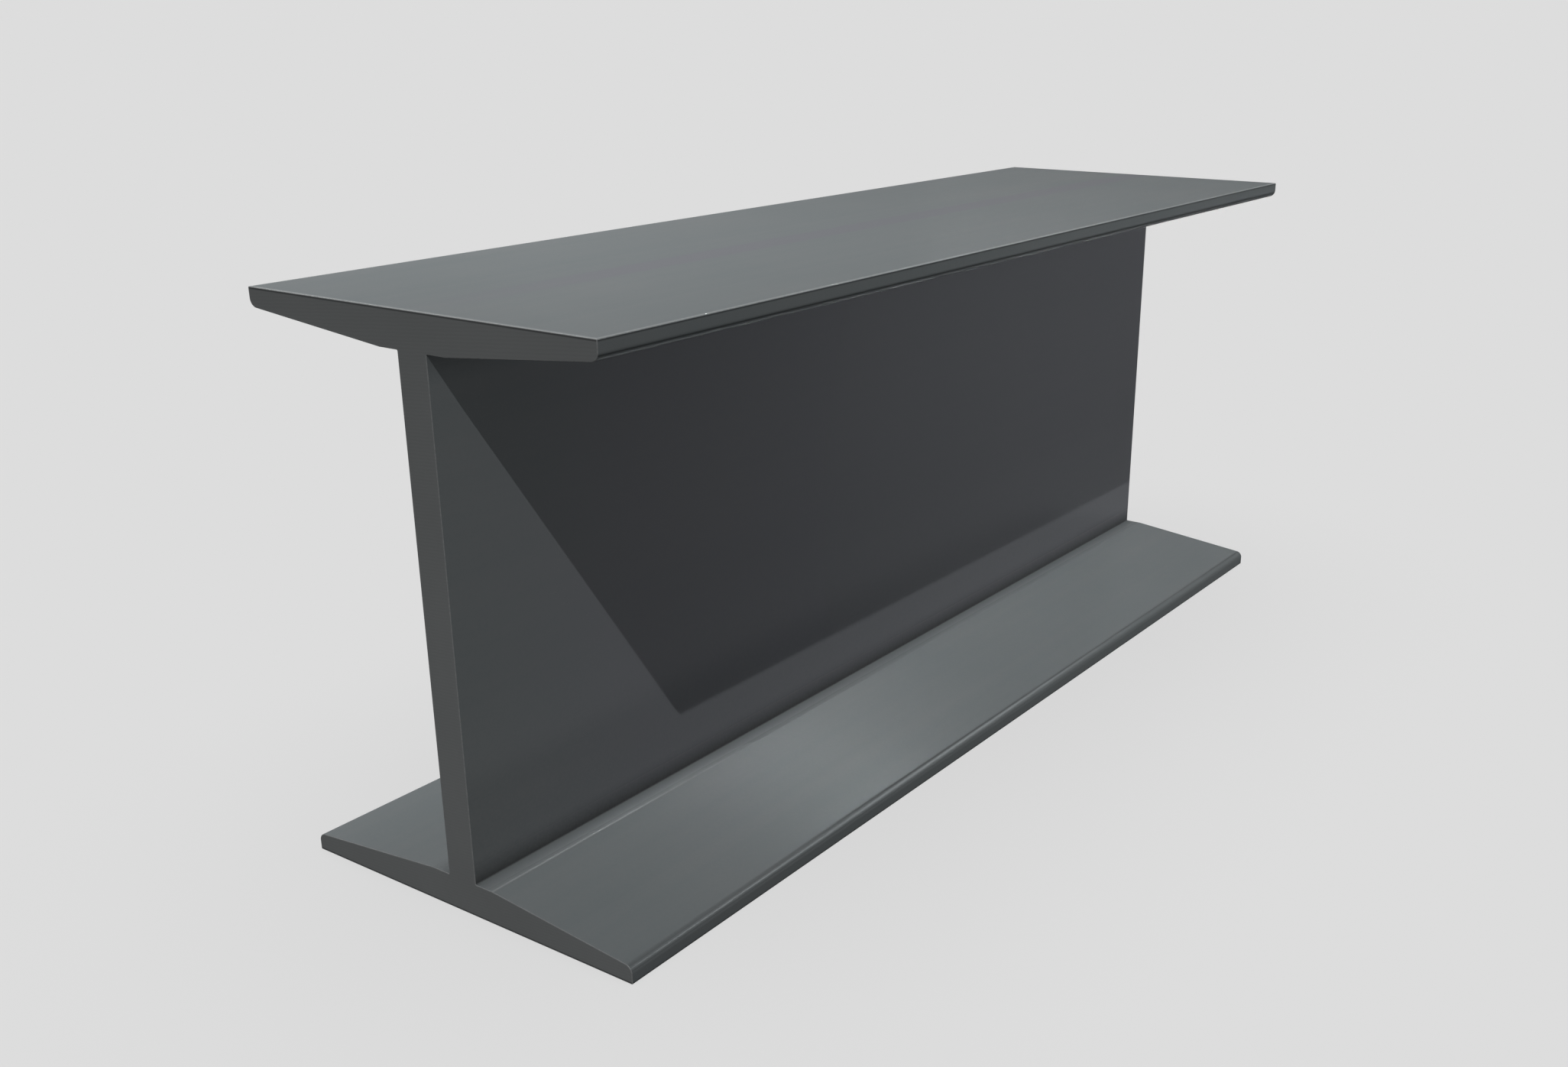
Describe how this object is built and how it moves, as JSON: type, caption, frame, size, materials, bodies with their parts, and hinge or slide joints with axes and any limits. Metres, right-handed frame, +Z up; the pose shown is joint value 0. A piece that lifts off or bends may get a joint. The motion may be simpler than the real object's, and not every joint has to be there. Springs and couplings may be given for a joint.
{
  "type": "steel i-beam",
  "caption": "Short length of rolled steel I-beam with tapered flanges, cut square at both ends, to carry load or stand as a post or packer.",
  "frame": {"origin": "centre of the face that the beam stands on, the lower flange's outer face", "axes": "+Z up, the beam's length along Y, the web in the plane X = 0"},
  "size_m": [0.149, 0.488, 0.2],
  "materials": {
    "hot_rolled_steel": "satin"
  },
  "bodies": {
    "root": {"rolled_i_beam": "hot_rolled_steel"}
  },
  "joints": []
}
